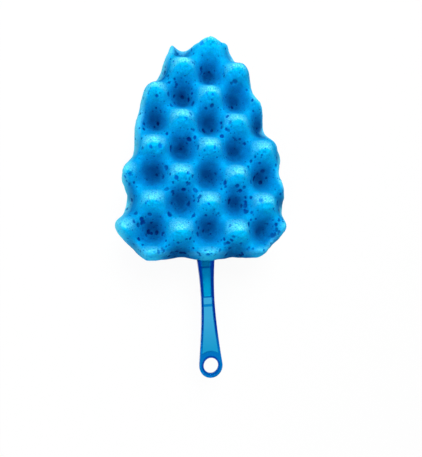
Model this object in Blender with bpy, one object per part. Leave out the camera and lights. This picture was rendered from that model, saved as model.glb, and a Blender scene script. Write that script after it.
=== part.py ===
"""Car wash brush: two convoluted foam pads glued over a flat core blade, on a clear blue grip.

The blade's tang plugs into the neck of the grip, which ends in a hanging ring. The pads are trimmed to
one outline, and the back one mirrors the front one. Metres, +Z up. X runs across the brush, +Y from the
ring to the tip of the head, and +Z out of the front pad. The brush lies on the bumps of its back pad.
Every piece is drawn with the ring's centre on the Z axis and the seam between the pads at Z zero.
"""

import math

import bpy
import numpy as np
from mathutils import Vector
from mathutils.geometry import delaunay_2d_cdt, interpolate_bezier

# Fits
FIT_GAP = 0.0003  # between two pieces that touch
CUT_OVERRUN = 0.002  # how far a cutter runs past a face that it opens
REST_CUT = 0.0008  # taken off the bumps that the brush lies on

# Grip
RING_RADIUS = 0.0127
HOLE_RADIUS = 0.0079
RING_DEPTH = 0.0045
GRIP_DEPTH = 0.009
DEPTH_START = 0.014  # up to this height the grip is as thin as the ring,
DEPTH_END = 0.05  # and from this one on it has its full depth
GRIP_CHAMFER = 0.0008
HOLE_CHAMFER = 0.0012
WAIST_HEIGHT = 0.071  # heights of the grip are above the ring's centre
WAIST_WIDTH = 0.0144
NECK_HEIGHT = 0.122
NECK_WIDTH = 0.0216
FLANGE = 0.0023  # width of a flange up to the waist
NECK_FLANGE = 0.0036  # and at the end of the neck
WEB = 0.0024
WEB_END_RADIUS = 0.0146
RIB_HEIGHT = 0.0635
RIB_WIDTH = 0.0026
RIB_DEPTH = 0.004
COLLAR_HEIGHT = 0.1042
COLLAR_WIDTH = 0.0016
MOULD_LEDGE = 0.00012  # each deeper hollow is this much narrower
SOCKET_WALL = 0.0011
NECK_END_WALL = 0.002
RING_FLARE = math.radians(6.5)  # lean of the sides where they leave the ring
NECK_FLARE = math.radians(8)
HANDLE_SHARE = 1 / 3  # a curve's handle, as a share of the height that the curve climbs

# Core blade
BLADE_THICKNESS = 0.003
BLADE_LENGTH = 0.196
BLADE_WIDTH = 0.118
BLADE_CHAMFER = 0.0006
TANG_TOP_WIDTH = 0.0092
TANG_TIP_WIDTH = 0.0075
TANG_END = 0.0735
WINDOW_LENGTH = 0.024
WINDOW_WIDTH = 0.007
WINDOW_PITCH = 0.036
WINDOW_OFFSET = 0.021  # from the blade's middle line to a window's middle
WINDOW_START = 0.034  # from the blade's shoulder to the lowest windows
WINDOW_END = 0.05  # at least this much of the blade has no window at its tip

# The blade's outline on both sides, from its shoulder to its tip: height, and reach from the middle line
BLADE_SIDE_SHARES = (
    (0.00, 0.62),
    (0.10, 0.93),
    (0.22, 1.00),
    (0.45, 0.90),
    (0.70, 0.70),
    (0.90, 0.46),
)

# Foam pads
NECK_SINK = 0.008  # how far the neck goes into the head's lower edge
HEAD_LEAN = math.radians(3.05)  # the head leans a little to the right of the grip
HEAD_LENGTH = 0.246
HEAD_WIDTH = 0.183
TIP_SHIFT = 0.016  # how far the tip lies to the right of the head's middle line
CELL_PITCH = 0.029  # from a bump to the hollow beside it
PIT_HEIGHT = 0.012  # foam under a hollow
BUMP_RISE = 0.032  # from a hollow's floor to a bump's top
TIP_BUMP = 0.2313  # the topmost bump, on the head's middle line, above its base
PEAK_SHARE = 0.1  # how far the bumps and the hollows are drawn in towards their middles
FULL_SHARE = 0.06  # how far the flanks are filled out, which leaves the hollows narrower than the bumps
EDGE_ROUNDING = 0.01
RIM_HEIGHT = 0.007  # the widest line of a pad's edge, over the seam
SEAM_TUCK = 0.0025  # how far the seam is drawn in from that line
EDGE_BULGE = 0.0015  # how far a bump pushes the edge out, and a hollow draws it in

# The head's outline on each side, from its base to its tip: height, and reach from the middle line
HEAD_LEFT_SHARES = (
    (0.00, 0.70),
    (0.12, 1.02),
    (0.19, 0.99),
    (0.27, 0.95),
    (0.36, 0.98),
    (0.48, 0.89),
    (0.60, 0.84),
    (0.735, 0.77),
    (0.83, 0.62),
    (0.92, 0.50),
    (0.97, 0.45),
    (0.97, 0.25),
)
HEAD_RIGHT_SHARES = (
    (0.02, 0.64),
    (0.12, 0.90),
    (0.19, 0.95),
    (0.27, 0.97),
    (0.37, 0.87),
    (0.47, 0.96),
    (0.57, 0.77),
    (0.66, 0.68),
    (0.735, 0.57),
    (0.83, 0.58),
    (0.92, 0.41),
    (0.97, 0.31),
)

# A point of an inner ring is kept where it lies this share of the ring's depth inside the rim
UNFOLDED_SHARE = 0.97

# Fineness
ARC_STEPS = 14
SIDE_STEPS = 10
HOLE_SIDES = 40
HEAD_POINTS = 84
BLADE_POINTS = 72
CELL_SAMPLES = 4  # foam points from a bump to the hollow beside it
EDGE_STEPS = 3  # rings of foam points over the rounded edge
WALL_STEPS = 2  # rings of foam points from the rim to the seam
WINDOW_ARC_STEPS = 6
SMOOTH_ANGLE = math.radians(35)
FOAM_SMOOTH_ANGLE = math.radians(75)

# Colour, roughness and transmission of each material
CLEAR_BLUE = ((0.01, 0.16, 0.62), 0.12, 0.7)
MOULDED_BLUE = ((0.01, 0.10, 0.35), 0.4, 0)
FOAM_BLUE = ((0, 0.35, 0.80), 0.9, 0)


def clear_scene():
    """Empties the file that the script runs in."""
    for item in list(bpy.data.objects):
        bpy.data.objects.remove(item, do_unlink=True)


def plain_material(name, look):
    """A Principled material with one colour, roughness and transmission."""
    colour, roughness, transmission = look
    material = bpy.data.materials.new(name)
    material.use_nodes = True
    shader = material.node_tree.nodes["Principled BSDF"]
    shader.inputs["Base Color"].default_value = (*colour, 1)
    shader.inputs["Roughness"].default_value = roughness
    shader.inputs["Transmission Weight"].default_value = transmission
    material.diffuse_color = (*colour, 1)
    return material


def add_object(name, vertices, faces, parent, smooth_angle=SMOOTH_ANGLE):
    """A smooth shaded mesh object with sharp edges where its faces turn steeply."""
    mesh = bpy.data.meshes.new(name)
    mesh.from_pydata([tuple(point) for point in vertices], [], faces)
    mesh.validate()
    mesh.shade_smooth()
    mesh.set_sharp_from_angle(angle=smooth_angle)
    item = bpy.data.objects.new(name, mesh)
    item.parent = parent
    bpy.context.collection.objects.link(item)
    return item


def loft(rings, cap=None):
    """Vertices and faces of a solid through rings of equal length, listed from its underside up.

    Both ends are closed by the faces of the cap, or by a single face.
    """
    count = len(rings[0])
    cap = cap or [tuple(range(count))]
    vertices = [tuple(point) for ring in rings for point in ring]
    faces = [tuple(reversed(face)) for face in cap]
    for level in range(len(rings) - 1):
        low, high = level * count, (level + 1) * count
        for index in range(count):
            after = (index + 1) % count
            faces.append((low + index, low + after, high + after, high + index))
    top = (len(rings) - 1) * count
    faces += [tuple(top + index for index in face) for face in cap]
    return vertices, faces


def at_height(outline, height):
    """A flat outline as a ring at one height, or at a height for each point."""
    return list(np.column_stack((outline, np.broadcast_to(height, len(outline)))))


def prism(outline, low, high):
    """A solid with straight walls over an outline."""
    return loft([at_height(outline, low), at_height(outline, high)])


def chamfered_plate(outline, half, chamfer, cap=None):
    """A plate with chamfered edges, from half its thickness under the seam to half of it above."""
    narrow = offset(outline, -chamfer)
    levels = (
        (narrow, -half),
        (outline, chamfer - half),
        (outline, half - chamfer),
        (narrow, half),
    )
    return loft([at_height(*level) for level in levels], cap)


def cut(target, name, solid, parent):
    """Cuts a piece with a solid that stays out of the render."""
    cutter = add_object(name, *solid, parent)
    cutter.hide_render = True
    cutter.display_type = "WIRE"
    modifier = target.modifiers.new(name, "BOOLEAN")
    modifier.operation = "DIFFERENCE"
    modifier.solver = "EXACT"
    modifier.object = cutter


def normals(outline):
    """Outward normals of an outline that runs anticlockwise, square to the chord of the neighbours."""
    chord = np.roll(outline, -1, axis=0) - np.roll(outline, 1, axis=0)
    outward = np.column_stack((chord[:, 1], -chord[:, 0]))
    return outward / np.linalg.norm(outward, axis=1, keepdims=True)


def offset(outline, distance):
    """An outline moved outwards by a distance, which may differ from point to point."""
    outline = np.asarray(outline)
    return outline + normals(outline) * np.reshape(distance, (-1, 1))


def mirrored(right):
    """A closed outline from its right side, which runs up from the middle of the base."""
    left = [(-x, y) for x, y in reversed(right) if x > 0]
    return list(right) + left


def rungs(count):
    """Faces of a cap that run straight across a mirrored outline of this many points."""
    faces = [(0, 1, count - 1)]
    for index in range(1, count // 2):
        faces.append((index, index + 1, count - index - 1, count - index))
    return faces


def smooth_loop(knots, count):
    """Evenly spaced points of the closed Catmull-Rom curve through the knots."""
    knots = np.asarray(knots)
    before, after = np.roll(knots, 1, axis=0), np.roll(knots, -1, axis=0)
    beyond = np.roll(knots, -2, axis=0)
    t = np.linspace(0, 1, count, endpoint=False)[:, None, None]
    curve = (
        knots
        + t * (after - before) / 2
        + t**2 * (before - 5 * knots / 2 + 2 * after - beyond / 2)
        + t**3 * (3 * (knots - after) + beyond - before) / 2
    )
    dense = curve.transpose(1, 0, 2).reshape(-1, 2)
    dense = np.vstack((dense, dense[:1]))
    run = np.concatenate(([0], np.cumsum(np.linalg.norm(np.diff(dense, axis=0), axis=1))))
    stations = np.linspace(0, run[-1], count, endpoint=False)
    return np.column_stack([np.interp(stations, run, dense[:, axis]) for axis in (0, 1)])


def bell(left_shares, right_shares, length, width, tip, count):
    """A bell shape through two tables of shares of a length and a half width, nowhere under zero."""
    half = width / 2
    right = [(reach * half, height * length) for height, reach in right_shares]
    left = [(-reach * half, height * length) for height, reach in reversed(left_shares)]
    curve = smooth_loop([(0, 0), *right, (tip, length), *left], count)
    return np.column_stack((curve[:, 0], np.maximum(curve[:, 1], 0)))


def grip_side():
    """The grip's right edge from the ring's side to the end of the neck."""
    leave = Vector((RING_RADIUS * math.cos(RING_FLARE), RING_RADIUS * math.sin(RING_FLARE)))
    waist = Vector((WAIST_WIDTH / 2, WAIST_HEIGHT))
    neck = Vector((NECK_WIDTH / 2, NECK_HEIGHT))
    low = HANDLE_SHARE * (waist.y - leave.y)
    high = HANDLE_SHARE * (neck.y - waist.y)
    leave_handle = leave + low * Vector((-math.tan(RING_FLARE), 1))
    neck_handle = neck - high * Vector((math.tan(NECK_FLARE), 1))
    lower = interpolate_bezier(
        leave, leave_handle, waist - low * Vector((0, 1)), waist, SIDE_STEPS + 1
    )
    upper = interpolate_bezier(
        waist, waist + high * Vector((0, 1)), neck_handle, neck, SIDE_STEPS + 1
    )
    return [tuple(point) for point in lower[:-1] + upper]


def grip_outline():
    """The grip's whole outline, anticlockwise from the lowest point of the ring."""
    sweep = math.pi / 2 + RING_FLARE
    angles = [sweep * step / ARC_STEPS - math.pi / 2 for step in range(ARC_STEPS)]
    arc = [(RING_RADIUS * math.cos(a), RING_RADIUS * math.sin(a)) for a in angles]
    arc[0] = (0, -RING_RADIUS)
    return mirrored(arc + grip_side())


def inner_half_width(height):
    """Half the width between the flanges at a height."""
    side = grip_side()
    flange = np.interp(height, (WAIST_HEIGHT, NECK_HEIGHT), (FLANGE, NECK_FLANGE))
    return np.interp(height, [y for _, y in side], [x for x, _ in side]) - flange


def recess(low, high, ledges, end_radius=None):
    """Outline of a hollow between the flanges, narrowed by its ledges. Its lower end may be an arch."""
    inset = ledges * MOULD_LEDGE
    if end_radius:
        low = end_radius
        for _ in range(ARC_STEPS):
            low = math.sqrt(end_radius**2 - (inner_half_width(low) - inset) ** 2)
    heights = np.linspace(low, high, SIDE_STEPS + 1)
    right = [(inner_half_width(y) - inset, y) for y in heights]
    start = right[0][0]
    base = [(start * step / ARC_STEPS, low) for step in range(ARC_STEPS)]
    if end_radius:
        base = [(x, math.sqrt(end_radius**2 - x**2)) for x, _ in base]
    return mirrored(base + right)


def socket_half():
    """Half the depth of the socket, with its two walls."""
    return BLADE_THICKNESS / 2 + FIT_GAP + SOCKET_WALL


def tang_outline(clearance):
    """The tang from its tip to the grip's end, widened by a clearance."""
    tip, top = TANG_TIP_WIDTH / 2 + clearance, TANG_TOP_WIDTH / 2 + clearance
    return [(0, TANG_END - clearance), (tip, TANG_END - clearance), (top, NECK_HEIGHT)]


def hole_cutter():
    """The ring's bore as a spool whose ends widen into a chamfer."""
    half = RING_DEPTH / 2
    wide = HOLE_RADIUS + HOLE_CHAMFER
    levels = (
        (-half - CUT_OVERRUN, wide),
        (-half, wide),
        (-half + HOLE_CHAMFER, HOLE_RADIUS),
        (half - HOLE_CHAMFER, HOLE_RADIUS),
        (half, wide),
        (half + CUT_OVERRUN, wide),
    )
    turns = [math.tau * side / HOLE_SIDES for side in range(HOLE_SIDES)]
    return loft(
        [[(r * math.cos(a), r * math.sin(a), z) for a in turns] for z, r in levels]
    )


def make_grip(frame):
    """Grip with a thin ring, an I section, a cross rib and a socket in its neck."""
    outline = np.array(grip_outline())
    half = GRIP_DEPTH / 2
    halves = np.interp(outline[:, 1], (DEPTH_START, DEPTH_END), (RING_DEPTH / 2, half))
    plate = chamfered_plate(outline, halves, GRIP_CHAMFER, rungs(len(outline)))
    grip = add_object("grip", *plate, frame)
    cut(grip, "ring_bore", hole_cutter(), frame)

    rib_low, rib_high = RIB_HEIGHT - RIB_WIDTH / 2, RIB_HEIGHT + RIB_WIDTH / 2
    collar_end, neck_end = COLLAR_HEIGHT + COLLAR_WIDTH, NECK_HEIGHT - NECK_END_WALL
    window_end = TANG_END - FIT_GAP - SOCKET_WALL
    arch = WEB_END_RADIUS + MOULD_LEDGE
    hollows = {
        "socket_face": (recess(0, COLLAR_HEIGHT, 0, WEB_END_RADIUS), socket_half()),
        "rib_face": (recess(0, window_end, 1, arch), RIB_DEPTH / 2),
        "web_recess": (recess(0, rib_low, 2, arch + MOULD_LEDGE), WEB / 2),
        "window_recess": (recess(rib_high, window_end - MOULD_LEDGE, 2), WEB / 2),
        "neck_face": (recess(collar_end, neck_end, 0), socket_half()),
    }
    for name, (shape, floor) in hollows.items():
        top = half + CUT_OVERRUN
        cut(grip, name + "_front", prism(shape, floor, top), frame)
        cut(grip, name + "_back", prism(shape, -top, -floor), frame)

    right = tang_outline(FIT_GAP)
    slot = mirrored(right + [(right[-1][0], NECK_HEIGHT + CUT_OVERRUN)])
    deep = BLADE_THICKNESS / 2 + FIT_GAP
    cut(grip, "socket_slot", prism(slot, -deep, deep), frame)
    grip.data.materials.append(plain_material("clear_blue_plastic", CLEAR_BLUE))
    return grip


def blade_outline(clearance):
    """The paddle alone, widened by a clearance."""
    sides = BLADE_SIDE_SHARES, BLADE_SIDE_SHARES
    paddle = bell(*sides, BLADE_LENGTH, BLADE_WIDTH, 0, BLADE_POINTS)
    return offset(paddle + (0, NECK_HEIGHT + FIT_GAP), clearance)


def blade_and_tang():
    """Outline of the whole blade: the middle of the paddle's base opens into the tang."""
    shoulder = TANG_TOP_WIDTH / 2
    base = NECK_HEIGHT + FIT_GAP
    paddle = [
        (x, y)
        for x, y in blade_outline(0)
        if abs(x) > shoulder + BLADE_CHAMFER or y > base + BLADE_CHAMFER
    ]
    tang = [(TANG_TIP_WIDTH / 2, TANG_END), (shoulder, base)]
    return tang + paddle + [(-x, y) for x, y in reversed(tang)]


def window(x, y):
    """Outline of a slot with round ends that lies across the blade."""
    radius = WINDOW_WIDTH / 2
    reach = WINDOW_LENGTH / 2 - radius
    turns = [math.pi * (step / WINDOW_ARC_STEPS - 0.5) for step in range(WINDOW_ARC_STEPS + 1)]
    right = [(x + reach + radius * math.cos(a), y + radius * math.sin(a)) for a in turns]
    left = [(2 * x - px, 2 * y - py) for px, py in right]
    return right + left


def make_blade(frame):
    """Flat blade inside the head, with glue windows and a tang for the grip's socket."""
    half = BLADE_THICKNESS / 2
    plate = chamfered_plate(blade_and_tang(), half, BLADE_CHAMFER)
    blade = add_object("core_blade", *plate, frame)
    deep = half + CUT_OVERRUN
    rows = 1 + int((BLADE_LENGTH - WINDOW_START - WINDOW_END) / WINDOW_PITCH)
    for row in range(rows):
        y = NECK_HEIGHT + WINDOW_START + row * WINDOW_PITCH
        for side, name in ((-1, "left"), (1, "right")):
            shape = window(side * WINDOW_OFFSET, y)
            cut(blade, f"window_{name}_{row + 1}", prism(shape, -deep, deep), frame)
    blade.data.materials.append(plain_material("blue_moulded_plastic", MOULDED_BLUE))
    return blade


def foam_wave(points):
    """The sheet's pattern at each point: 1 on a bump, -1 in a hollow and near 0 on the ridges between.

    A product of cosines along the sheet's two directions makes bumps and hollows like a chessboard. Its
    cube draws both in towards their middles, and what lies between the tops and the floors is filled out,
    which widens the bumps and narrows the hollows.
    """
    u, v = (math.pi * (points - (0, TIP_BUMP)) / CELL_PITCH).T
    wave = np.cos(u) * np.cos(v)
    wave += PEAK_SHARE * (wave**3 - wave)
    return wave + FULL_SHARE * (1 - wave**2)


def edge_distance(points, outline):
    """Each point's distance to the nearest side of a closed outline, negative outside it."""
    start, end = outline, np.roll(outline, -1, axis=0)
    side = end - start
    reach = points[:, None] - start
    share = np.clip((reach * side).sum(axis=2) / (side**2).sum(axis=1), 0, 1)
    gap = np.linalg.norm(reach - share[..., None] * side, axis=2).min(axis=1)
    px, py = points[:, :1], points[:, 1:]
    spans = (start[:, 1] > py) != (end[:, 1] > py)
    rise = np.where(side[:, 1] == 0, 1, side[:, 1])
    crossing = px < side[:, 0] * (py - start[:, 1]) / rise + start[:, 0]
    inside = (spans & crossing).sum(axis=1) % 2 == 1
    return np.where(inside, gap, -gap)


def foam_height(points, rim):
    """Height of the foam over the seam: the sheet's pattern, rounded down to the rim at the edge."""
    full = PIT_HEIGHT + BUMP_RISE * (foam_wave(points) + 1) / 2
    depth = np.clip(edge_distance(points, rim) / EDGE_ROUNDING, 0, 1)
    return RIM_HEIGHT + (full - RIM_HEIGHT) * np.sqrt(1 - (1 - depth) ** 2)


def foam_points(rim):
    """Points of the pad's face: its rim, rings over the rounded edge, and staggered rows over the bumps.

    Every bump, hollow and ridge between two bumps has a point of its own, on a row that isn't staggered.
    """
    rings = [rim]
    for step in range(1, EDGE_STEPS + 1):
        inward = EDGE_ROUNDING * (1 - math.cos(math.pi / 2 * step / EDGE_STEPS))
        ring = offset(rim, -inward)
        rings.append(ring[edge_distance(ring, rim) > inward * UNFOLDED_SHARE])
    step = CELL_PITCH / CELL_SAMPLES
    reach = math.ceil(HEAD_LENGTH / step)
    column, row = np.meshgrid(np.arange(-reach, reach), np.arange(-reach, reach))
    x = (column + row % 2 / 2) * step
    y = TIP_BUMP + row * step
    grid = np.column_stack((x.ravel(), y.ravel()))
    rings.append(grid[edge_distance(grid, rim) > EDGE_ROUNDING + step / 2])
    return np.vstack(rings)


def foam_pad_solid(side):
    """Closed solid of the pad on one side of the seam: face, rounded wall and flat back."""
    sides = HEAD_LEFT_SHARES, HEAD_RIGHT_SHARES
    outline = bell(*sides, HEAD_LENGTH, HEAD_WIDTH, TIP_SHIFT, HEAD_POINTS)
    rim = offset(outline, EDGE_BULGE * foam_wave(outline))
    seam = offset(outline, -SEAM_TUCK)
    seam_height = FIT_GAP / 2
    points = foam_points(rim)
    count = len(rim)
    border = [(index, (index + 1) % count) for index in range(count)]
    inside_only, tolerance = 1, 0
    flat, _, triangles, origins, _, _ = delaunay_2d_cdt(
        [Vector(point) for point in points], border, [], inside_only, tolerance
    )
    place = {origin: index for index, group in enumerate(origins) for origin in group}
    flat = np.array([tuple(point) for point in flat])
    heights = foam_height(flat, rim)
    on_rim = [place[index] for index in range(count)]
    heights[on_rim] = RIM_HEIGHT
    vertices = [(x, y, z) for (x, y), z in zip(flat, heights)]
    faces = [tuple(face) for face in triangles]
    above = on_rim
    for step in range(1, WALL_STEPS + 1):
        turn = math.pi / 2 * step / WALL_STEPS
        ring = seam + (rim - seam) * math.cos(turn)
        height = RIM_HEIGHT + (seam_height - RIM_HEIGHT) * math.sin(turn)
        below = list(range(len(vertices), len(vertices) + count))
        vertices += at_height(ring, height)
        for index in range(count):
            after = (index + 1) % count
            faces.append((below[index], below[after], above[after], above[index]))
        above = below
    faces.append(tuple(reversed(above)))
    if side < 0:
        faces = [tuple(reversed(face)) for face in faces]
    return [(x, y, z * side) for x, y, z in vertices], faces


def make_pads(frame):
    """Front and back pad, glued face to face with the blade and the grip's neck let in between them."""
    foam = plain_material("blue_foam", FOAM_BLUE)
    pocket_half = BLADE_THICKNESS / 2 + FIT_GAP
    channel_half = GRIP_DEPTH / 2 + FIT_GAP
    channel = offset(grip_outline(), FIT_GAP)
    pads = []
    for name, side in (("front_pad", 1), ("back_pad", -1)):
        pad = add_object(name, *foam_pad_solid(side), frame, FOAM_SMOOTH_ANGLE)
        pad.location = (0, NECK_HEIGHT - NECK_SINK, 0)
        pad.rotation_euler = (0, 0, -HEAD_LEAN)
        pocket = prism(blade_outline(FIT_GAP), -pocket_half, pocket_half)
        cut(pad, name + "_blade_pocket", pocket, frame)
        cut(pad, name + "_neck_channel", prism(channel, -channel_half, channel_half), frame)
        pad.data.materials.append(foam)
        pads.append(pad)
    return pads


def flatten_back(back_pad, frame):
    """Cuts the back pad's bumps flat where the brush lies on them."""
    deep = PIT_HEIGHT + BUMP_RISE
    side, low, high = HEAD_WIDTH, NECK_HEIGHT - HEAD_WIDTH, NECK_HEIGHT + HEAD_LENGTH + HEAD_WIDTH
    slab = [(-side, low), (side, low), (side, high), (-side, high)]
    cut(back_pad, "rest_plane", prism(slab, -deep - CUT_OVERRUN, REST_CUT - deep), frame)


def stand_on_origin(frame, pieces):
    """Moves the whole brush so that the middle of its box is over the origin and its base at zero."""
    bpy.context.view_layer.update()
    graph = bpy.context.evaluated_depsgraph_get()
    points = []
    for piece in pieces:
        shown = piece.evaluated_get(graph)
        points += [shown.matrix_world @ vertex.co for vertex in shown.data.vertices]
    low = [min(point[axis] for point in points) for axis in range(3)]
    high = [max(point[axis] for point in points) for axis in range(3)]
    frame.location = (-(low[0] + high[0]) / 2, -(low[1] + high[1]) / 2, -low[2])


def main():
    """Builds the brush from the grip to the pads and sets it down on the origin."""
    clear_scene()
    frame = bpy.data.objects.new("brush_frame", None)
    bpy.context.collection.objects.link(frame)
    grip = make_grip(frame)
    blade = make_blade(frame)
    front_pad, back_pad = make_pads(frame)
    flatten_back(back_pad, frame)
    stand_on_origin(frame, [grip, blade, front_pad, back_pad])
    bpy.context.view_layer.update()


main()
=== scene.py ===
"""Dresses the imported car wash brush: fine foam pads, a clear grip, a moulded blade, and a pale stage."""

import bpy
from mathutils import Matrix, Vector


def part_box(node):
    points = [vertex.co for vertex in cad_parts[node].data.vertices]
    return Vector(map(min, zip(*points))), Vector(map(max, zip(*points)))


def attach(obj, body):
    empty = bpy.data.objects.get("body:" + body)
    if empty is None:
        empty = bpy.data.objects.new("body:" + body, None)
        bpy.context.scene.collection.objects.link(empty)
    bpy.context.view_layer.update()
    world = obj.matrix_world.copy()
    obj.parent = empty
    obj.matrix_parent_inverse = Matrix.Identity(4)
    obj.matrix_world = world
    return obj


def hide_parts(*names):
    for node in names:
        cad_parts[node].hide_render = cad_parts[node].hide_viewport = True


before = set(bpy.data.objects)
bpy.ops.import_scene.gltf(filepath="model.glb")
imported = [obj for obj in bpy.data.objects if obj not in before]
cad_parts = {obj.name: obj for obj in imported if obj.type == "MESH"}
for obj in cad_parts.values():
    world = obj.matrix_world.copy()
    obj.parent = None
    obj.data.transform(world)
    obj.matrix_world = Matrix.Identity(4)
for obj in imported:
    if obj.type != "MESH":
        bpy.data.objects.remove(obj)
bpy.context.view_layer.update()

import math
from itertools import product

import bmesh
import bpy
import numpy as np
from bpy.props import FloatProperty, FloatVectorProperty, IntProperty, PointerProperty
from mathutils import Matrix, Vector

bl_info = {
    "name": "Car wash brush",
    "version": (1, 0, 0),
    "blender": (4, 5, 0),
    "location": "View3D > Sidebar > Wash brush",
    "description": "Builds the foam pads, the clear grip and the stage of a car wash brush",
    "category": "Object",
}

MERGE_DISTANCE = 0.00001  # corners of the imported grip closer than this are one

# The head's place on the grip, as in the solids
RING_RADIUS = 0.0127
NECK_HEIGHT = 0.122  # above the ring's centre
NECK_HALF_WIDTH = 0.0108
NECK_SINK = 0.008
NECK_FLARE = math.radians(8)
GRIP_HALF_DEPTH = 0.0045
FIT_GAP = 0.0003
POCKET_HALF = 0.0018  # half the blade's thickness and the gap round it
HEAD_LEAN = math.radians(3.05)
HEAD_LENGTH = 0.246
HEAD_WIDTH = 0.183
TIP_BUMP = 0.2313  # the topmost bump's height over the head's base
PIT_HEIGHT = 0.012
RIM_HEIGHT = 0.007
SEAM_TUCK = 0.0025  # how far the seam between the pads lies inside the outline
GLUE_LEDGE = 0.0077  # width of the glued ledge round the hollow that holds the blade
PEAK_SHARE = 0.1  # how much of the pattern's cube is mixed in, which sharpens tops and floors
FULL_SHARE = 0.06  # how much the slopes between tops and floors are filled out

# The head's outline on each side, from its base to its tip: height, and reach from the middle line
HEAD_LEFT_SHARES = (
    (0.00, 0.70), (0.12, 1.02), (0.19, 0.99), (0.27, 0.95), (0.36, 0.98), (0.48, 0.89),
    (0.60, 0.84), (0.735, 0.77), (0.83, 0.62), (0.92, 0.50), (0.97, 0.45), (0.97, 0.25),
)
HEAD_RIGHT_SHARES = (
    (0.02, 0.64), (0.12, 0.90), (0.19, 0.95), (0.27, 0.97), (0.37, 0.87), (0.47, 0.96),
    (0.57, 0.77), (0.66, 0.68), (0.735, 0.57), (0.83, 0.58), (0.92, 0.41), (0.97, 0.31),
)
TIP_SHIFT = 0.016  # how far the tip lies to the right of the middle line

# Heights on the outline where the base and the tip turn into the sides
CORNER_SHARES = (0.07, 0.93)

# Pores
CLUSTER_SIZE = 3
CLUSTER_SPREAD = 0.008
LARGE_PORE_RANGE = (0.5, 1)  # least and greatest size, as shares of the set radius
SMALL_PORE_RANGE = (0.6, 1.4)
PORE_STRETCH = 1.35
PORE_LEAN = 0.4  # how far a stretched pore's direction strays from the head's length
PORE_PALEST = 0.6
PORE_FADE = 3  # how fast a pore's shade starts inside its rim
PORE_THINNING = 1.4  # over 1, pores grow fewer towards the tip
PORE_SNAP = 0.001  # how far a pore's spot may lie from the nearest point of the pad
PORE_FACING = 0.4  # slopes that face the tip more than this have no pores
EDGE_PORES = 90

# Lumps: wide swells, ripples, and crumbs that stand out on the worn tops of bumps
SWELL_HEIGHT = 0.0012
SWELL_SIZE = 0.019
RIPPLE_HEIGHT = 0.0005
RIPPLE_SIZE = 0.007
CRUMB_HEIGHT = 0.0001
CRUMB_TOP_HEIGHT = 0.001
CRUMB_SIZE = 0.0024
TOP_RISE = 3  # crumbs fade out a third of the way down a bump

# Painted highlights on crests: how fast they start where the foam turns to the tip,
# and how far they reach down a bump
CREST_FACING = 2.4
CREST_START = 0.4
CREST_RISE = 2.3

# Painted shading: painted shade on flanks that face the grip, and painted light on ridges that face up
FLANK_SHADE = 0.22
RIDGE_LIGHT = 0.2
RIDGE_UP = 0.7
TIP_LIGHT = 0.4
TIP_FROM = 0.84  # share of the head's length from which painted light makes the tip lighter

# Painted glow of light at the edges: palest at the rim, less in hollows and where the edge turns from the tip
EDGE_WIDTH = 1.2
EDGE_BASE = 0.8
EDGE_FACING = 1.2
EDGE_BUMP = 0.5

# Foam finish: texture scales, and how strongly each layer shows
MOTTLE_SCALE = 120
GRAIN_SCALE = 700
CELL_SCALE = 1000
SPECK_SCALE = 260
MOTTLE_AMOUNT = 0.36
SHADING_STOPS = (0.0, 0.36, 0.95)  # levels of painted shading for the hollow, flank and bump colours
RIM_GLOW_AMOUNT = 0.9
# Painted highlight on the crests, broken into crumbs by the grain
CREST_HIGHLIGHT_AMOUNT = 0.8
HIGHLIGHT_CRUMB_CONTRAST = 3.6
HIGHLIGHT_CRUMB_SHIFT = -1.1
GRAIN_CONTRAST = 0.9
GRAIN_BASE = 0.58
GRAIN_AMOUNT = 0.7
SPECK_RADIUS = 0.3  # as a share of a Voronoi cell
SPECK_SHARPNESS = 6.0
SPECK_CUT = 0.62  # cells whose random value is under this have no speck
SPECK_AMOUNT = 0.7
PORE_LIT_GAIN = 2.5  # where pores turn from the hollow's shade to the bump's
PORE_LIT_SHIFT = -1.5

# Clear grip: tints by height over the ring's centre, and by height over the seam plane
WEB_RUN = 0.11
WEB_TINTS = ((0.0, (0.18, 1, 1)), (0.15, (0.2, 0.8, 0.86)), (0.45, (0.85, 1, 1)))
# Painted shade: the thick flanges beside the web are tinted darker, more so up the grip
FLANGE_SHADE_TINTS = ((0.05, (0.1, 1, 1)), (0.3, (0.1, 0.55, 0.95)))
STEP_TINT = (0.05, 0.95, 1, 1)
BORE_SHADE_TINT = (0, 0.25, 0.65, 1)
GLINT_TINT = (0, 0.3, 0.9, 1)
STEP_LEVEL = 0.0016  # the web ends here and its step to the flange starts
FLANGE_LEVEL = 0.0035
BORE_REACH = 0.0102  # painted shade makes the ring deep blue this near to its centre

# Blade: the tang grows clearer towards its end; towards the head it is darker and less clear,
# with painted shadow of the head
TANG_END = 0.0735  # above the ring's centre
TANG_RUN = 0.05
TANG_SHADOW_TINTS = ((0.0, (0.8, 1.0, 1.0)), (0.25, (0.15, 0.95, 0.95)))
BLADE_STOP = 0.45  # share of the run past which the blade has its own colour
TANG_CLARITY = 0.95  # how clear the tang's end is
CLARITY_LOSS = -0.6  # how much of that is gone at the end of the run
PEEL_SCALE = 700
PEEL_CONTRAST = 0.2
PEEL_BASE = 0.9

# Fineness of a pad
ACROSS = 300
ALONG = 440
EDGE_RINGS = 44
WALL_RINGS = 8
UNDER_RINGS = 8
KNOT_STEPS = 300
INNER_SMOOTHING = 80
DISTANCE_BLOCK = 4000  # points measured at a time, to spare memory

# The underside's rings from the seam in: share of the ledge's width, and height over the seam plane
LEDGE_RINGS = ((0.3, FIT_GAP / 2), (0.6, FIT_GAP / 2), (1, FIT_GAP / 2), (1.04, POCKET_HALF))

# Noise: each corner of the lattice hashes to the fraction of a large sine
HASH_STEPS = (12.9898, 78.233, 37.719)
HASH_SCALE = 43758.5453

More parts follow.
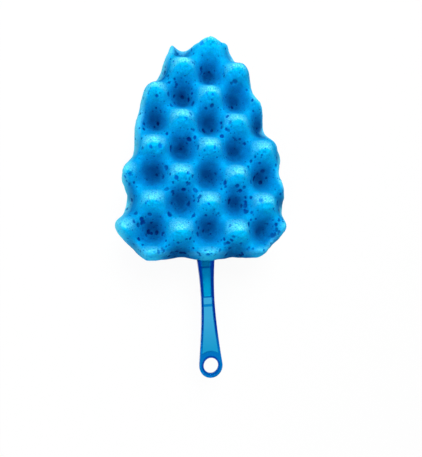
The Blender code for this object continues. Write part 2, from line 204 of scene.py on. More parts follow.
# Stage: each lamp's name, place, target and diameter, and the camera solved from the foam's lattice
FLOOR_HALF = 3.0
FLOOR_GLOW = 0.94  # share of the floor that the camera sees as plain white
KEY_LAMP = ("key_lamp", (0.08, 0.50, 1.05), (0, 0.05, 0.04), 0.7)
FILL_LAMP = ("fill_lamp", (-0.5, -0.7, 0.9), (0, 0, 0.04), 0.8)
CAMERA_LENS = 26.0
CAMERA_SENSOR = 36.0
CAMERA_TURNS = (("X", -6.18), ("Y", 8.75), ("Z", 3.053))  # degrees, from the scene's axes to the camera's
CAMERA_OFFSET = (-0.0502, 0.1110, 0.3651)  # from the ring's centre


class FoamSettings(bpy.types.PropertyGroup):
    """Sizes and colours of the foam pads."""

    cell_pitch: FloatProperty(
        name="Cell pitch", description="From a bump to the hollow beside it", default=0.029, unit="LENGTH"
    )
    bump_rise: FloatProperty(
        name="Bump rise", description="From a hollow's floor to a bump's top", default=0.032, unit="LENGTH"
    )
    edge_rounding: FloatProperty(
        name="Edge rounding", description="Width of the rounded edge", default=0.01, unit="LENGTH"
    )
    edge_bulge: FloatProperty(
        name="Edge bulge", description="How far a bump pushes the edge out", default=0.0015, unit="LENGTH"
    )
    large_pores: IntProperty(
        name="Large pores", description="Clustered pores on each pad", default=240, min=0
    )
    small_pores: IntProperty(
        name="Small pores", description="Lone pores on each pad", default=270, min=0
    )
    large_pore_radius: FloatProperty(
        name="Large pore radius", description="Radius of the widest pores", default=0.0028, unit="LENGTH"
    )
    small_pore_radius: FloatProperty(
        name="Small pore radius", description="Radius of the small pores", default=0.0013, unit="LENGTH"
    )
    pore_depth: FloatProperty(
        name="Pore depth", description="Depth of a pore as a share of its radius", default=0.5
    )
    seed: IntProperty(name="Seed", description="Which pores and lumps are drawn", default=7)
    # Colour of the painted highlight on the crests that face the tip
    crest_highlight_colour: FloatVectorProperty(
        name="Crest highlight colour", description="Painted crest highlights", subtype="COLOR", default=(0.20, 0.88, 1.0)
    )
    # The bump colour carries painted light and the hollow colour painted shade; the flank colour lies between
    lit_bump_colour: FloatVectorProperty(
        name="Bump colour", description="Foam on the bumps", subtype="COLOR", default=(0.0, 0.54, 1.0)
    )
    flank_colour: FloatVectorProperty(
        name="Flank colour", description="Foam on the flanks", subtype="COLOR", default=(0.0, 0.225, 0.585)
    )
    shaded_hollow_colour: FloatVectorProperty(
        name="Hollow colour", description="Foam in the hollows", subtype="COLOR", default=(0.0, 0.085, 0.285)
    )
    # Colour of the painted glow of light through the thin foam at the edge
    rim_glow_colour: FloatVectorProperty(
        name="Edge colour", description="Thin foam at the edge", subtype="COLOR", default=(0.13, 0.75, 1.0)
    )
    # Painted shade inside the pores, lighter on the bumps with painted light; the pores are also sunk into
    # the foam
    pore_shade: FloatVectorProperty(
        name="Pore shade", description="What a pore leaves of the colour in a hollow", subtype="COLOR",
        default=(0.0, 0.20, 0.48),
    )
    crest_pore_shade: FloatVectorProperty(
        name="Crest pore shade", description="What a pore leaves of the colour on a bump", subtype="COLOR",
        default=(0.0, 0.48, 0.95),
    )


class GripSettings(bpy.types.PropertyGroup):
    """Finish of the clear grip and the blade."""

    clear_tint: FloatVectorProperty(
        name="Clear tint", description="What the clear plastic lets through", subtype="COLOR",
        default=(0.06, 0.71, 0.893),
    )
    clear_density: FloatProperty(
        name="Clear density", description="How fast the clear plastic takes up light, per metre", default=1300
    )
    smooth_angle: FloatProperty(
        name="Smooth angle", description="Edges under this angle shade round", default=math.radians(50),
        subtype="ANGLE",
    )
    blade_colour: FloatVectorProperty(
        name="Blade colour", description="Moulded plastic of the blade", subtype="COLOR",
        default=(0.0, 0.64, 0.78),
    )


class StageSettings(bpy.types.PropertyGroup):
    """Lights and floor."""

    key_power: FloatProperty(
        name="Key power", description="Lamp over the tip", default=10.5, unit="POWER"
    )
    fill_power: FloatProperty(
        name="Fill power", description="Lamp over the grip", default=5.0, unit="POWER"
    )
    world_strength: FloatProperty(
        name="World strength", description="Even light from all sides", default=0.30
    )
    floor_colour: FloatVectorProperty(
        name="Floor colour", description="Colour of the floor", subtype="COLOR", default=(0.92, 0.92, 0.92)
    )


class BrushSettings(bpy.types.PropertyGroup):
    """All settings of the brush."""

    foam: PointerProperty(type=FoamSettings, name="Foam", description="The foam pads")
    grip: PointerProperty(type=GripSettings, name="Grip", description="The grip and the blade")
    stage: PointerProperty(type=StageSettings, name="Stage", description="Lights and floor")


def ring_centre():
    """The middle of the hanging ring on the seam plane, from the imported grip."""
    low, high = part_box("grip")
    return np.array(((low.x + high.x) / 2, low.y + RING_RADIUS, (low.z + high.z) / 2))


def closed_curve(knots, steps):
    """Catmull-Rom curve through closed knots: each span is the cubic that leaves a knot along the chord of
    its neighbours, sampled at even values of its parameter."""
    knots = np.asarray(knots)
    before, after = np.roll(knots, 1, axis=0), np.roll(knots, -1, axis=0)
    beyond = np.roll(knots, -2, axis=0)
    t = np.linspace(0, 1, steps, endpoint=False)[:, None, None]
    curve = (
        knots
        + t * (after - before) / 2
        + t**2 * (before - 5 * knots / 2 + 2 * after - beyond / 2)
        + t**3 * (3 * (knots - after) + beyond - before) / 2
    )
    return curve.transpose(1, 0, 2).reshape(-1, 2)


def resampled(line, count):
    """Points at even distances along a line, its first one included and its last one left out."""
    run = np.concatenate(([0], np.cumsum(np.linalg.norm(np.diff(line, axis=0), axis=1))))
    stations = np.linspace(0, run[-1], count, endpoint=False)
    return np.column_stack([np.interp(stations, run, line[:, axis]) for axis in (0, 1)])


def head_loop():
    """The head's outline, anticlockwise from the left corner of its base, as four runs of points: base, right
    side, tip and left side. The base and tip have as many points as the pad has columns, and the sides as
    many as it has rows."""
    half = HEAD_WIDTH / 2
    right = [(reach * half, height * HEAD_LENGTH) for height, reach in HEAD_RIGHT_SHARES]
    left = [(-reach * half, height * HEAD_LENGTH) for height, reach in reversed(HEAD_LEFT_SHARES)]
    dense = closed_curve([(0, 0), *right, (TIP_SHIFT, HEAD_LENGTH), *left], KNOT_STEPS)
    dense[:, 1] = np.maximum(dense[:, 1], 0)
    low, high = (share * HEAD_LENGTH for share in CORNER_SHARES)
    on_right = dense[:, 0] > 0
    tip = dense[:, 1].argmax()
    base_right = np.flatnonzero(on_right & (dense[:, 1] >= low))[0]
    tip_right = np.flatnonzero(on_right & (dense[:, 1] >= high))[0]
    tip_left = tip + np.flatnonzero(dense[tip:, 1] <= high)[0]
    base_left = tip + np.flatnonzero(dense[tip:, 1] <= low)[0]
    around = np.vstack((dense[base_left:], dense[:base_right + 1]))
    return np.vstack((
        resampled(around, ACROSS),
        resampled(dense[base_right:tip_right + 1], ALONG),
        resampled(dense[tip_right:tip_left + 1], ACROSS),
        resampled(dense[tip_left:base_left + 1], ALONG),
    ))


def outward(loop):
    """Outward normals of an anticlockwise loop, square to the chord of each point's neighbours."""
    chord = np.roll(loop, -1, axis=0) - np.roll(loop, 1, axis=0)
    normal = np.column_stack((chord[:, 1], -chord[:, 0]))
    return normal / np.linalg.norm(normal, axis=1, keepdims=True)


def eased(loop, rounds):
    """A loop smoothed by taking half of each point and a quarter of each neighbour, many times over."""
    for _ in range(rounds):
        loop = loop / 2 + (np.roll(loop, 1, axis=0) + np.roll(loop, -1, axis=0)) / 4
    return loop


def foam_wave(points, pitch):
    """The sheet's pattern: 1 on a bump, -1 in a hollow. It is the product of the cosines of both directions,
    mixed with its cube, and filled out between its tops and floors by a share of one less its square."""
    u, v = (math.pi * (points - (0, TIP_BUMP)) / pitch).T
    wave = np.cos(u) * np.cos(v)
    wave += PEAK_SHARE * (wave**3 - wave)
    return wave + FULL_SHARE * (1 - wave**2)


def distance_to(loop, points):
    """Each point's distance to the nearest side of a closed loop, worked out in blocks of points."""
    start, side = loop, np.roll(loop, -1, axis=0) - loop
    length = (side**2).sum(axis=1)
    found = []
    for block in np.array_split(points, max(1, len(points) // DISTANCE_BLOCK)):
        reach = block[:, None] - start
        share = np.clip((reach * side).sum(axis=2) / length, 0, 1)
        found.append(np.linalg.norm(reach - share[..., None] * side, axis=2).min(axis=1))
    return np.concatenate(found)


def lattice_noise(points, size, seed):
    """Noise from -1 to 1: a value hashed for each corner of a cube lattice, blended by eased weights."""
    cell = np.floor(points / size)
    local = points / size - cell
    local = local * local * (3 - 2 * local)
    total = np.zeros(len(points))
    for corner in product((0, 1), repeat=3):
        hashed = np.sin((cell + corner) @ HASH_STEPS + seed) * HASH_SCALE
        weight = np.where(np.array(corner) == 1, local, 1 - local).prod(axis=1)
        total += weight * (hashed - np.floor(hashed))
    return 2 * total - 1


def coons(ring):
    """Grid inside a ring of four runs: each point is the blend of the two points across it and of the two
    points along it on the runs, less the blend of the four corners."""
    runs = np.split(ring, (ACROSS, ACROSS + ALONG, 2 * ACROSS + ALONG))
    base = np.vstack((runs[0], runs[1][:1]))
    right = np.vstack((runs[1], runs[2][:1]))
    tip = np.vstack((runs[2], runs[3][:1]))[::-1]
    left = np.vstack((runs[3], runs[0][:1]))[::-1]
    u = np.linspace(0, 1, ACROSS + 1)[None, :, None]
    v = np.linspace(0, 1, ALONG + 1)[:, None, None]
    edges = (1 - v) * base[None] + v * tip[None] + (1 - u) * left[:, None] + u * right[:, None]
    corners = (
        (1 - u) * (1 - v) * base[0] + u * (1 - v) * base[-1] + (1 - u) * v * tip[0] + u * v * tip[-1]
    )
    return (edges - corners).reshape(-1, 2)


def grid_border():
    """Numbers of the grid's outer points in the order of the ring."""
    grid = np.arange((ALONG + 1) * (ACROSS + 1)).reshape(ALONG + 1, ACROSS + 1)
    return np.concatenate((grid[0, :-1], grid[:-1, -1], grid[-1, :0:-1], grid[:0:-1, 0]))


def grid_quads():
    """The grid's faces, anticlockwise from above."""
    grid = np.arange((ALONG + 1) * (ACROSS + 1)).reshape(ALONG + 1, ACROSS + 1)
    return np.stack((grid[:-1, :-1], grid[:-1, 1:], grid[1:, 1:], grid[1:, :-1]), axis=-1).reshape(-1, 4)


def band_quads(outer, inner):
    """Faces between two rings of numbers, the outer one first, anticlockwise from above."""
    return np.column_stack((outer, np.roll(outer, -1), np.roll(inner, -1), inner))


def underside_height(ring, level):
    """Height of the underside along a ring: the level, or the channel's roof where the ring passes over the
    neck. The neck is a strip about the grip's middle line that widens by its flare from the sink up."""
    turn = np.array([[math.cos(HEAD_LEAN), -math.sin(HEAD_LEAN)], [math.sin(HEAD_LEAN), math.cos(HEAD_LEAN)]])
    across, up = (ring @ turn).T
    half = NECK_HALF_WIDTH + FIT_GAP + (up - NECK_SINK) * math.tan(NECK_FLARE)
    over_neck = (abs(across) < half) & (up < NECK_SINK + FIT_GAP)
    return np.where(over_neck, GRIP_HALF_DEPTH + FIT_GAP, level)


def pad_shape(foam):
    """Points, four-sided faces and closing triangles of a front pad in the head's own frame, with how high
    each point is in the pattern, how far in from the edge, and how far out of the seam, each from 0 to 1.
    The face is the sheet's wave, brought down to the rim by a quarter ellipse over the edge's width. The wall
    is a quarter ellipse from the rim to the seam, and the underside has a ledge for the glue, a hollow for
    the blade and a channel for the neck."""
    loop = head_loop()
    normal = outward(loop)
    bulge = foam.edge_bulge * foam_wave(loop, foam.cell_pitch)
    rim = loop + normal * bulge[:, None]
    depth_inside = foam.edge_rounding + foam.edge_bulge
    inner = eased(loop - normal * depth_inside, INNER_SMOOTHING)
    grid = coons(inner)
    rings = [rim + (inner - rim) * (step / EDGE_RINGS) ** 2 for step in range(EDGE_RINGS)]
    face = np.vstack((grid, *rings))

    # The face's heights
    wave = foam_wave(face, foam.cell_pitch)
    full = PIT_HEIGHT + foam.bump_rise * (wave + 1) / 2
    depth = np.ones(len(face))
    banded = slice(len(grid), None)
    depth[banded] = np.clip(distance_to(rim[::2], face[banded]) / foam.edge_rounding, 0, 1)
    round_off = np.sqrt(1 - (1 - depth) ** 2)
    round_off[len(grid):len(grid) + len(loop)] = 0
    height = RIM_HEIGHT + (full - RIM_HEIGHT) * round_off
    points = [np.column_stack((face, height))]

    # The wall, and the underside with its ledge, hollow and channel
    seam = loop - normal * SEAM_TUCK
    low = underside_height(seam, FIT_GAP / 2)
    angles = math.pi / 2 * np.arange(1, WALL_RINGS + 1) / WALL_RINGS
    for angle in angles:
        ring = seam + (rim - seam) * math.cos(angle)
        points.append(np.column_stack((ring, RIM_HEIGHT + (low - RIM_HEIGHT) * math.sin(angle))))
    ledge_share = GLUE_LEDGE / depth_inside
    for share, level in LEDGE_RINGS:
        ring = seam + (inner - seam) * ledge_share * share
        points.append(np.column_stack((ring, underside_height(ring, level))))
    middle = inner.mean(axis=0)
    for step in range(UNDER_RINGS):
        ring = inner + (middle - inner) * step / UNDER_RINGS
        points.append(np.column_stack((ring, underside_height(ring, POCKET_HALF))))
    points = np.vstack((*points, [(*middle, POCKET_HALF)]))

    # Faces: the grid, bands from the rim in to its border, bands from the rim down and under, and the cap
    total, count = len(points), len(loop)
    rows = np.arange(len(grid), total - 1).reshape(-1, count)
    inward = [*rows[:EDGE_RINGS], grid_border()]
    downward = [rows[0], *rows[EDGE_RINGS:]]
    bands = [band_quads(outer, within) for outer, within in zip(inward, inward[1:])]
    bands += [band_quads(under, over) for over, under in zip(downward, downward[1:])]
    quads = np.vstack((grid_quads(), *bands))
    cap = np.column_stack((np.roll(rows[-1], -1), rows[-1], np.full(count, total - 1)))

    rise = (foam_wave(points[:, :2], foam.cell_pitch) + 1) / 2
    inland = np.concatenate((depth, np.zeros(total - len(face))))
    wall = np.cos(angles).repeat(count)
    outside = np.concatenate((np.ones(len(face)), wall, np.zeros(total - len(face) - len(wall))))
    return points, quads, cap, rise, inland, outside


def pore_field(points, to_tip, foam, random):
    """How deep each point lies in an open pore, and how dark it is. Pores are ellipsoids round points of the
    surface, drawn in loose clusters and alone over the face, but not on slopes that face the tip, and alone
    round the edge. With share one less the squared distance from the pore's middle in radii, the depth goes
    by the share's root, as a half sphere's does, and the shade by the share, full over the inner part."""
    sunk, dark = np.zeros(len(points)), np.zeros(len(points))
    flat = points[:, :2]
    low, high = flat.min(axis=0), flat.max(axis=0)
    clusters = foam.large_pores // CLUSTER_SIZE
    bend = (1, PORE_THINNING)
    anchors = low + (high - low) * random.uniform(0, 1, (clusters, 2)) ** bend
    near = np.repeat(anchors, CLUSTER_SIZE, axis=0)
    near += random.normal(0, CLUSTER_SPREAD, near.shape)
    alone = low + (high - low) * random.uniform(0, 1, (foam.small_pores, 2)) ** bend
    spots = np.vstack((near, alone))
    nearest = np.array([((flat - spot) ** 2).sum(axis=1).argmin() for spot in spots])
    on_face = np.linalg.norm(flat[nearest] - spots, axis=1) < PORE_SNAP
    kept = on_face & (to_tip[nearest] < PORE_FACING)
    on_edge = random.integers((ACROSS + 1) * (ALONG + 1), len(points), EDGE_PORES)
    sizes = np.concatenate((
        foam.large_pore_radius * random.uniform(*LARGE_PORE_RANGE, len(near)),
        foam.small_pore_radius * random.uniform(*SMALL_PORE_RANGE, len(alone)),
    ))[kept]
    edge_sizes = foam.small_pore_radius * random.uniform(*SMALL_PORE_RANGE, EDGE_PORES)
    middles = points[np.concatenate((nearest[kept], on_edge))]
    for middle, radius in zip(middles, np.concatenate((sizes, edge_sizes))):
        along = random.normal((0, 1, 0), PORE_LEAN)
        along /= np.linalg.norm(along)
        stretch, painted_shading = random.uniform((1, PORE_PALEST), (PORE_STRETCH, 1))
        close = np.flatnonzero((abs(flat - middle[:2]) < 2 * radius).all(axis=1))
        reach = points[close] - middle
        squared = (reach**2).sum(axis=1) - (1 - 1 / stretch**2) * (reach @ along) ** 2
        share = np.clip(1 - squared / radius**2, 0, 1)
        sunk[close] = np.maximum(sunk[close], foam.pore_depth * radius * np.sqrt(share))
        dark[close] = np.maximum(dark[close], painted_shading * np.clip(PORE_FADE * share, 0, 1))
    return sunk, dark


def new_piece(name, points, faces, material, smooth=True):
    """A mesh object at the origin with its place in its points."""
    mesh = bpy.data.meshes.new(name)
    mesh.from_pydata(points.tolist(), [], faces)
    mesh.update()
    if smooth:
        mesh.shade_smooth()
    piece = bpy.data.objects.new(name, mesh)
    bpy.context.scene.collection.objects.link(piece)
    mesh.materials.append(material)
    return piece


def make_pad(name, node, side, foam, material):
    """One foam pad, side 1 for the front and -1 for the back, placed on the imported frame. Each point moves
    along its normal by its lumps less its pore's depth, and the back pad is the front one's mirror image
    with lumps and pores of its own."""
    points, quads, cap, rise, inland, outside = pad_shape(foam)
    centre = ring_centre()
    cos, sin = math.cos(-HEAD_LEAN), math.sin(-HEAD_LEAN)
    turned = points @ np.array([[cos, sin, 0], [-sin, cos, 0], [0, 0, 1]])
    placed = turned + (centre[0], centre[1] + NECK_HEIGHT - NECK_SINK, 0)
    faces = quads.tolist() + cap.tolist()
    piece = new_piece(name, placed, faces, material)
    mesh = piece.data
    normals = np.empty(len(placed) * 3, np.float32)
    mesh.vertices.foreach_get("normal", normals)
    normals = normals.reshape(-1, 3).astype(float)

    # Painted light and shade: a crest, the high part of a bump facing the tip, has a painted highlight.
    # Flanks that face the grip get painted shade, ridges that face up and the tip get painted light, and
    # edges are pale at the rim with a painted glow of light.
    to_tip, up = normals[:, 1], normals[:, 2]
    facing = np.clip(CREST_FACING * to_tip + CREST_START, 0, 1)
    lit_crest = facing * np.clip(CREST_RISE * (rise - 1) + 1, 0, 1) * inland
    painted_shading = rise + FLANK_SHADE * np.minimum(to_tip, 0) + RIDGE_LIGHT * (up - RIDGE_UP) * 4 * rise * (1 - rise)
    painted_shading += TIP_LIGHT * np.clip((points[:, 1] / HEAD_LENGTH - TIP_FROM) / (1 - TIP_FROM), 0, 1)
    # Painted glow of light at the rim, stronger where the edge faces the tip and on the bumps
    edge = np.clip(1 - EDGE_WIDTH * inland, 0, 1) * outside
    edge *= np.clip(EDGE_BASE + EDGE_FACING * to_tip + EDGE_BUMP * rise, 0, 1)

    random = np.random.default_rng(foam.seed + side)
    shown = slice(0, np.flatnonzero(outside)[-1] + 1)
    sunk, dark = np.zeros(len(placed)), np.zeros(len(placed))
    sunk[shown], dark[shown] = pore_field(placed[shown], to_tip[shown], foam, random)
    top = np.clip(TOP_RISE * (rise - 1) + 1, 0, 1)
    crumbs = CRUMB_HEIGHT + CRUMB_TOP_HEIGHT * top * inland
    lumps = SWELL_HEIGHT * lattice_noise(placed, SWELL_SIZE, foam.seed + side)
    lumps += RIPPLE_HEIGHT * lattice_noise(placed, RIPPLE_SIZE, foam.seed + 3 * side)
    lumps += crumbs * lattice_noise(placed, CRUMB_SIZE, foam.seed + 5 * side)
    placed = placed + normals * ((lumps - sunk) * outside)[:, None]
    if side < 0:
        placed[:, 2] = -np.minimum(placed[:, 2], centre[2])
    placed[:, 2] += centre[2]
    mesh.vertices.foreach_set("co", placed.astype(np.float32).ravel())
    if side < 0:
        mesh.flip_normals()
    mesh.update()
    for key, values in (("painted_shading", painted_shading), ("edge", edge), ("lit_crest", lit_crest), ("pore", dark)):
        attribute = mesh.attributes.new(key, "FLOAT", "POINT")
        attribute.data.foreach_set("value", values.astype(np.float32))
    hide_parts(node)
    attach(piece, "root")


def new_material(name):
    """An empty node material with its tree and output."""
    material = bpy.data.materials.new(name)
    material.use_nodes = True
    tree = material.node_tree
    tree.nodes.clear()
    return material, tree, tree.nodes.new("ShaderNodeOutputMaterial")


def add_node(tree, kind, inputs=None, **settings):
    """A node with its settings, whose inputs are numbers, colours or other nodes' outputs."""
    made = tree.nodes.new("ShaderNode" + kind)
    for key, value in settings.items():
        setattr(made, key, value)
    for key, value in (inputs or {}).items():
        if isinstance(value, bpy.types.NodeSocket):
            tree.links.new(value, made.inputs[key])
        else:
            made.inputs[key].default_value = value
    return made


def mix_colours(tree, share, first, second, blend="MIX"):
    """The blend of two colours by a share."""
    mixed = add_node(tree, "Mix", {0: share, 6: first, 7: second}, data_type="RGBA", blend_type=blend)
    return mixed.outputs[2]


def math_node(tree, operation, *values, clamp=False):
    """The result of a Math node."""
    inputs = {index: value for index, value in enumerate(values)}
    return add_node(tree, "Math", inputs, operation=operation, use_clamp=clamp).outputs[0]


def grey_shade(tree, level):
    """A grey as light as a level, to multiply a colour by."""
    return add_node(tree, "CombineColor", {0: level, 1: level, 2: level}).outputs[0]


def ramp(tree, share, stops):
    """A colour ramp over a share, through stops of a position and a colour."""
    made = add_node(tree, "ValToRGB", {0: share})
    elements = made.color_ramp.elements
    stops = list(stops)
    while len(elements) < len(stops):
        elements.new(0.5)
    for element, (position, colour) in zip(elements, stops):
        element.position = position
        element.color = (*colour, 1)
    return made.outputs[0]


def height_share(tree, place, start, run):
    """From 0 to 1: a place's height over a start above the ring's centre, as a share of a run."""
    height = add_node(tree, "SeparateXYZ", {0: place}).outputs[1]
    low = float(ring_centre()[1] + start)
    return math_node(tree, "MULTIPLY_ADD", height, 1 / run, -low / run, clamp=True)


def foam_material(foam):
    """Open-cell foam. Its painted shading, mottled by soft noise, runs from the hollows' colour, dark
    with painted shade, over the flanks' to the bumps', light with painted light. The rim is pale with a
    painted glow of light, crests that face the tip carry a painted highlight broken into crumbs, a fine grain
    darkens all of it, and pores and specks multiply it by a painted shade that is lighter on the bumps."""
    material, tree, output = new_material("open_cell_foam")
    place = add_node(tree, "TexCoord").outputs["Object"]
    painted_shading, edge, lit_crest, pore = (
        add_node(tree, "Attribute", attribute_name=key).outputs["Fac"]
        for key in ("painted_shading", "edge", "lit_crest", "pore")
    )
    mottle = add_node(tree, "TexNoise", {"Vector": place, "Scale": MOTTLE_SCALE, "Detail": 3}).outputs["Fac"]
    grain = add_node(tree, "TexNoise", {"Vector": place, "Scale": GRAIN_SCALE, "Detail": 3}).outputs["Fac"]
    cells = add_node(tree, "TexVoronoi", {"Vector": place, "Scale": CELL_SCALE})
    specks = add_node(tree, "TexVoronoi", {"Vector": place, "Scale": SPECK_SCALE})

    # Painted light and shade, mottled by soft noise, picks the colour from hollow to bump
    mottled_shading = math_node(tree, "MULTIPLY_ADD", mottle, MOTTLE_AMOUNT, painted_shading)
    mottled_shading = math_node(tree, "SUBTRACT", mottled_shading, MOTTLE_AMOUNT / 2)
    colour = ramp(tree, mottled_shading, zip(SHADING_STOPS, (foam.shaded_hollow_colour, foam.flank_colour, foam.lit_bump_colour)))
    # Painted glow of light at the rim
    pale = math_node(tree, "MULTIPLY", edge, RIM_GLOW_AMOUNT)
    colour = mix_colours(tree, pale, colour, (*foam.rim_glow_colour, 1))
    # Painted highlight on the crests that face the tip, broken into crumbs by the grain
    crumbs = math_node(tree, "MULTIPLY_ADD", grain, HIGHLIGHT_CRUMB_CONTRAST, HIGHLIGHT_CRUMB_SHIFT, clamp=True)
    crest_highlight = math_node(tree, "MULTIPLY", math_node(tree, "MULTIPLY", lit_crest, crumbs), CREST_HIGHLIGHT_AMOUNT)
    colour = mix_colours(tree, crest_highlight, colour, (*foam.crest_highlight_colour, 1))
    grey = grey_shade(tree, math_node(tree, "MULTIPLY_ADD", grain, GRAIN_CONTRAST, GRAIN_BASE))
    colour = mix_colours(tree, GRAIN_AMOUNT, colour, grey, "MULTIPLY")

    # Specks are the small cells that open at the surface: a dot of painted shade in some cells
    # of a Voronoi pattern
    dot = math_node(tree, "SUBTRACT", SPECK_RADIUS, specks.outputs["Distance"])
    dot = math_node(tree, "MULTIPLY", dot, SPECK_SHARPNESS, clamp=True)
    picked = add_node(tree, "SeparateColor", {0: specks.outputs["Color"]}).outputs[0]
    dot = math_node(tree, "MULTIPLY", dot, math_node(tree, "GREATER_THAN", picked, SPECK_CUT))
    # Pores and specks darken the colour by a painted shade, lighter on the bumps with painted light
    hole = math_node(tree, "MAXIMUM", pore, math_node(tree, "MULTIPLY", dot, SPECK_AMOUNT))
    lit = math_node(tree, "MULTIPLY_ADD", mottled_shading, PORE_LIT_GAIN, PORE_LIT_SHIFT, clamp=True)
    shade = mix_colours(tree, lit, (*foam.pore_shade, 1), (*foam.crest_pore_shade, 1))
    colour = mix_colours(tree, hole, colour, shade, "MULTIPLY")

    # The fine cells roughen the surface, and the specks are pressed into it
    fine = add_node(
        tree, "Bump", {"Height": cells.outputs["Distance"], "Strength": 0.35, "Distance": 0.0004}
    )
    pressed = math_node(tree, "MULTIPLY", dot, -1.0)
    coarse = add_node(
        tree, "Bump", {"Height": pressed, "Normal": fine.outputs[0], "Strength": 0.6, "Distance": 0.0006}
    )
    surface = add_node(tree, "BsdfPrincipled", {
        "Base Color": colour,
        "Roughness": 0.9,
        "Specular IOR Level": 0.02,
        "Sheen Weight": 0.1,
        "Sheen Roughness": 0.4,
        "Sheen Tint": (0.1, 0.65, 1, 1),
        "Subsurface Weight": 0.3,
        "Subsurface Radius": (0.1, 1.0, 1.8),
        "Subsurface Scale": 0.002,
        "Normal": coarse.outputs[0],
    })
    tree.links.new(surface.outputs[0], output.inputs["Surface"])
    return material


def clear_material(grip):
    """Clear tinted plastic, which bends light and takes up more of it the thicker it is. Its surface tint
    deepens along the web towards the ring and on the steps beside the web; on the thick flanges and round
    the ring's bore it is darkened by painted shade."""
    material, tree, output = new_material("clear_plastic")
    place = add_node(tree, "TexCoord").outputs["Object"]
    flow = add_node(tree, "TexNoise", {"Vector": place, "Scale": 60, "Detail": 1}).outputs["Fac"]
    bump = add_node(tree, "Bump", {"Height": flow, "Strength": 0.08, "Distance": 0.002})
    ring = ring_centre()
    along = height_share(tree, place, 0, WEB_RUN)
    web, flange = ramp(tree, along, WEB_TINTS), ramp(tree, along, FLANGE_SHADE_TINTS)
    level = add_node(tree, "SeparateXYZ", {0: place}).outputs[2]
    level = math_node(tree, "ABSOLUTE", math_node(tree, "SUBTRACT", level, float(ring[2])))
    colour = mix_colours(tree, math_node(tree, "GREATER_THAN", level, STEP_LEVEL), web, STEP_TINT)
    # Painted shade on the thick flanges
    colour = mix_colours(tree, math_node(tree, "GREATER_THAN", level, FLANGE_LEVEL), colour, flange)
    reach = add_node(tree, "VectorMath", {0: place, 1: tuple(ring)}, operation="DISTANCE").outputs["Value"]
    # Painted shade round the ring's bore
    colour = mix_colours(tree, math_node(tree, "LESS_THAN", reach, BORE_REACH), colour, BORE_SHADE_TINT)
    surface = add_node(tree, "BsdfPrincipled", {
        "Base Color": colour,
        "Roughness": 0.05,
        "IOR": 1.45,
        "Specular IOR Level": 0.3,
        "Specular Tint": GLINT_TINT,
        "Transmission Weight": 1,
        "Normal": bump.outputs[0],
    })
    volume = add_node(
        tree, "VolumeAbsorption", {"Color": (*grip.clear_tint, 1), "Density": grip.clear_density}
    )
    tree.links.new(surface.outputs[0], output.inputs["Surface"])
    tree.links.new(volume.outputs[0], output.inputs["Volume"])
    return material


def moulded_material(grip):
    """Satin moulded plastic with a faint orange peel, whose tang grows clearer and paler towards its end,
    and darker and less clear towards the head with painted shadow of the head.
    """
    material, tree, output = new_material("moulded_plastic")
    place = add_node(tree, "TexCoord").outputs["Object"]
    peel = add_node(tree, "TexNoise", {"Vector": place, "Scale": PEEL_SCALE, "Detail": 2}).outputs["Fac"]
    grey = grey_shade(tree, math_node(tree, "MULTIPLY_ADD", peel, PEEL_CONTRAST, PEEL_BASE))
    # Painted shadow of the head: the tang is darker and less clear towards the head
    along = height_share(tree, place, TANG_END, TANG_RUN)
    clear = ramp(tree, along, (*TANG_SHADOW_TINTS, (BLADE_STOP, grip.blade_colour)))
    shadow_clarity = math_node(tree, "MULTIPLY_ADD", along, CLARITY_LOSS, TANG_CLARITY)
    colour = mix_colours(tree, 1.0, clear, grey, "MULTIPLY")
    bump = add_node(tree, "Bump", {"Height": peel, "Strength": 0.2, "Distance": 0.0002})
    surface = add_node(tree, "BsdfPrincipled", {
        "Base Color": colour,
        "Roughness": 0.4,
        "Transmission Weight": shadow_clarity,
        "Normal": bump.outputs[0],
    })
    tree.links.new(surface.outputs[0], output.inputs["Surface"])
    return material


def background_rays(tree):
    """One for a ray that shows the background to the camera, straight, mirrored or through plastic."""
    path = add_node(tree, "LightPath").outputs
    seen = math_node(tree, "MAXIMUM", path["Is Camera Ray"], path["Is Glossy Ray"])
    return math_node(tree, "MAXIMUM", seen, path["Is Transmission Ray"])


def floor_material(stage):
    """Pale floor. The camera sees it near white, and it still takes the shadow."""
    material, tree, output = new_material("pale_floor")
    plain = add_node(tree, "BsdfDiffuse", {"Color": (*stage.floor_colour, 1)})
    bright = add_node(tree, "Emission", {"Color": (1, 1, 1, 1), "Strength": 1.0})
    share = math_node(tree, "MULTIPLY", background_rays(tree), FLOOR_GLOW)
    surface = add_node(tree, "MixShader", {0: share, 1: plain.outputs[0], 2: bright.outputs[0]})
    tree.links.new(surface.outputs[0], output.inputs["Surface"])
    return material


def pale_world(strength):
    """A world that lights evenly at a strength, and is white, a strength of 1, where the camera sees it."""
    world = bpy.data.worlds.new("studio")
    world.use_nodes = True
    tree = world.node_tree
    background = tree.nodes["Background"]
    background.inputs["Color"].default_value = (1, 1, 1, 1)
    level = math_node(tree, "MULTIPLY_ADD", background_rays(tree), 1 - strength, strength)
    tree.links.new(level, background.inputs["Strength"])
    return world


def round_lamp(name, place, target, diameter, power):
    """A round area lamp at a place, turned to a target."""
    data = bpy.data.lights.new(name, "AREA")
    data.shape = "DISK"
    data.size = diameter
    data.energy = power
    lamp = bpy.data.objects.new(name, data)
    bpy.context.scene.collection.objects.link(lamp)
    lamp.location = place
    lamp.rotation_mode = "QUATERNION"
    lamp.rotation_quaternion = Vector(np.subtract(target, place)).to_track_quat("-Z", "Y")


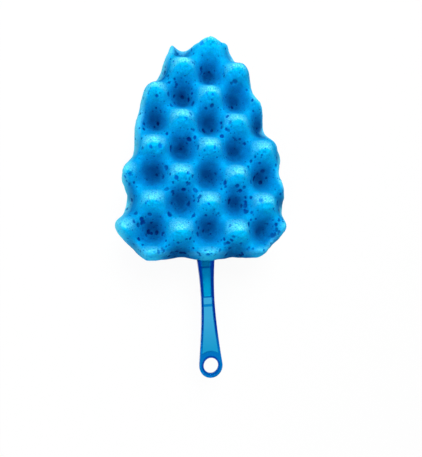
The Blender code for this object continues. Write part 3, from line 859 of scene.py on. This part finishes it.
def photo_camera():
    """The camera at the photograph's angle. Its rotation is the inverse of the turns about X, Y and Z that
    take the scene's axes to the camera's."""
    camera = bpy.data.cameras.new("photo_camera")
    camera.lens = CAMERA_LENS
    camera.sensor_width = CAMERA_SENSOR
    holder = bpy.data.objects.new("photo_camera", camera)
    bpy.context.scene.collection.objects.link(holder)
    turn = Matrix.Identity(3)
    for axis, degrees in CAMERA_TURNS:
        turn = turn @ Matrix.Rotation(math.radians(degrees), 3, axis)
    place = ring_centre() + CAMERA_OFFSET
    holder.matrix_world = Matrix.Translation(place) @ turn.transposed().to_4x4()
    return holder


class BRUSH_OT_foam_pads(bpy.types.Operator):
    """Makes the front and back foam pads."""

    bl_idname = "brush.foam_pads"
    bl_label = "Make foam pads"

    def execute(self, context):
        foam = context.scene.wash_brush.foam
        material = foam_material(foam)
        make_pad("front_foam", "front_pad", 1, foam, material)
        make_pad("back_foam", "back_pad", -1, foam, material)
        return {"FINISHED"}


class BRUSH_OT_grip(bpy.types.Operator):
    """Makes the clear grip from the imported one, shaded round over its chamfers, and finishes the blade."""

    bl_idname = "brush.grip"
    bl_label = "Make grip and blade"

    def execute(self, context):
        grip = context.scene.wash_brush.grip
        shape = bmesh.new()
        shape.from_mesh(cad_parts["grip"].data)
        bmesh.ops.remove_doubles(shape, verts=shape.verts, dist=MERGE_DISTANCE)
        mesh = bpy.data.meshes.new("clear_grip")
        shape.to_mesh(mesh)
        shape.free()
        stale = mesh.attributes.get("custom_normal")
        if stale:
            mesh.attributes.remove(stale)
        mesh.materials.append(clear_material(grip))
        mesh.shade_smooth()
        mesh.set_sharp_from_angle(angle=grip.smooth_angle)
        piece = bpy.data.objects.new("clear_grip", mesh)
        context.scene.collection.objects.link(piece)
        weighted = piece.modifiers.new("rounded_chamfers", "WEIGHTED_NORMAL")
        weighted.keep_sharp = True
        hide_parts("grip")
        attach(piece, "root")
        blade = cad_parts["core_blade"]
        blade.data.materials.clear()
        blade.data.materials.append(moulded_material(grip))
        return {"FINISHED"}


class BRUSH_OT_stage(bpy.types.Operator):
    """Makes the floor, the lamps, the world and the camera."""

    bl_idname = "brush.stage"
    bl_label = "Make stage"

    def execute(self, context):
        scene = context.scene
        stage = scene.wash_brush.stage
        corners = FLOOR_HALF * np.array([(-1, -1, 0), (1, -1, 0), (1, 1, 0), (-1, 1, 0)])
        floor = new_piece("floor", corners, [(0, 1, 2, 3)], floor_material(stage), smooth=False)
        scene.world = pale_world(stage.world_strength)
        round_lamp(*KEY_LAMP, stage.key_power)
        round_lamp(*FILL_LAMP, stage.fill_power)
        scene.camera = photo_camera()
        scene.view_settings.view_transform = "Standard"
        return {"FINISHED"}


class BRUSH_PT_panel(bpy.types.Panel):
    """Lists the steps that build the brush."""

    bl_idname = "BRUSH_PT_panel"
    bl_label = "Car wash brush"
    bl_space_type = "VIEW_3D"
    bl_region_type = "UI"
    bl_category = "Wash brush"

    def draw(self, context):
        settings = context.scene.wash_brush
        for operator, group in (("brush.foam_pads", settings.foam), ("brush.grip", settings.grip),
                                ("brush.stage", settings.stage)):
            box = self.layout.box()
            box.operator(operator)
            for key in group.bl_rna.properties.keys():
                if key not in ("name", "rna_type"):
                    box.prop(group, key)


CLASSES = (
    FoamSettings, GripSettings, StageSettings, BrushSettings,
    BRUSH_OT_foam_pads, BRUSH_OT_grip, BRUSH_OT_stage, BRUSH_PT_panel,
)


def register():
    """Registers the classes and gives the scene its settings."""
    for item in CLASSES:
        bpy.utils.register_class(item)
    bpy.types.Scene.wash_brush = PointerProperty(type=BrushSettings)


def unregister():
    """Takes the settings and the classes away again."""
    del bpy.types.Scene.wash_brush
    for item in reversed(CLASSES):
        bpy.utils.unregister_class(item)


def main():
    """Registers the add-on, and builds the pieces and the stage."""
    register()
    bpy.ops.brush.foam_pads()
    bpy.ops.brush.grip()
    bpy.ops.brush.stage()


if __name__ == "__main__":
    main()
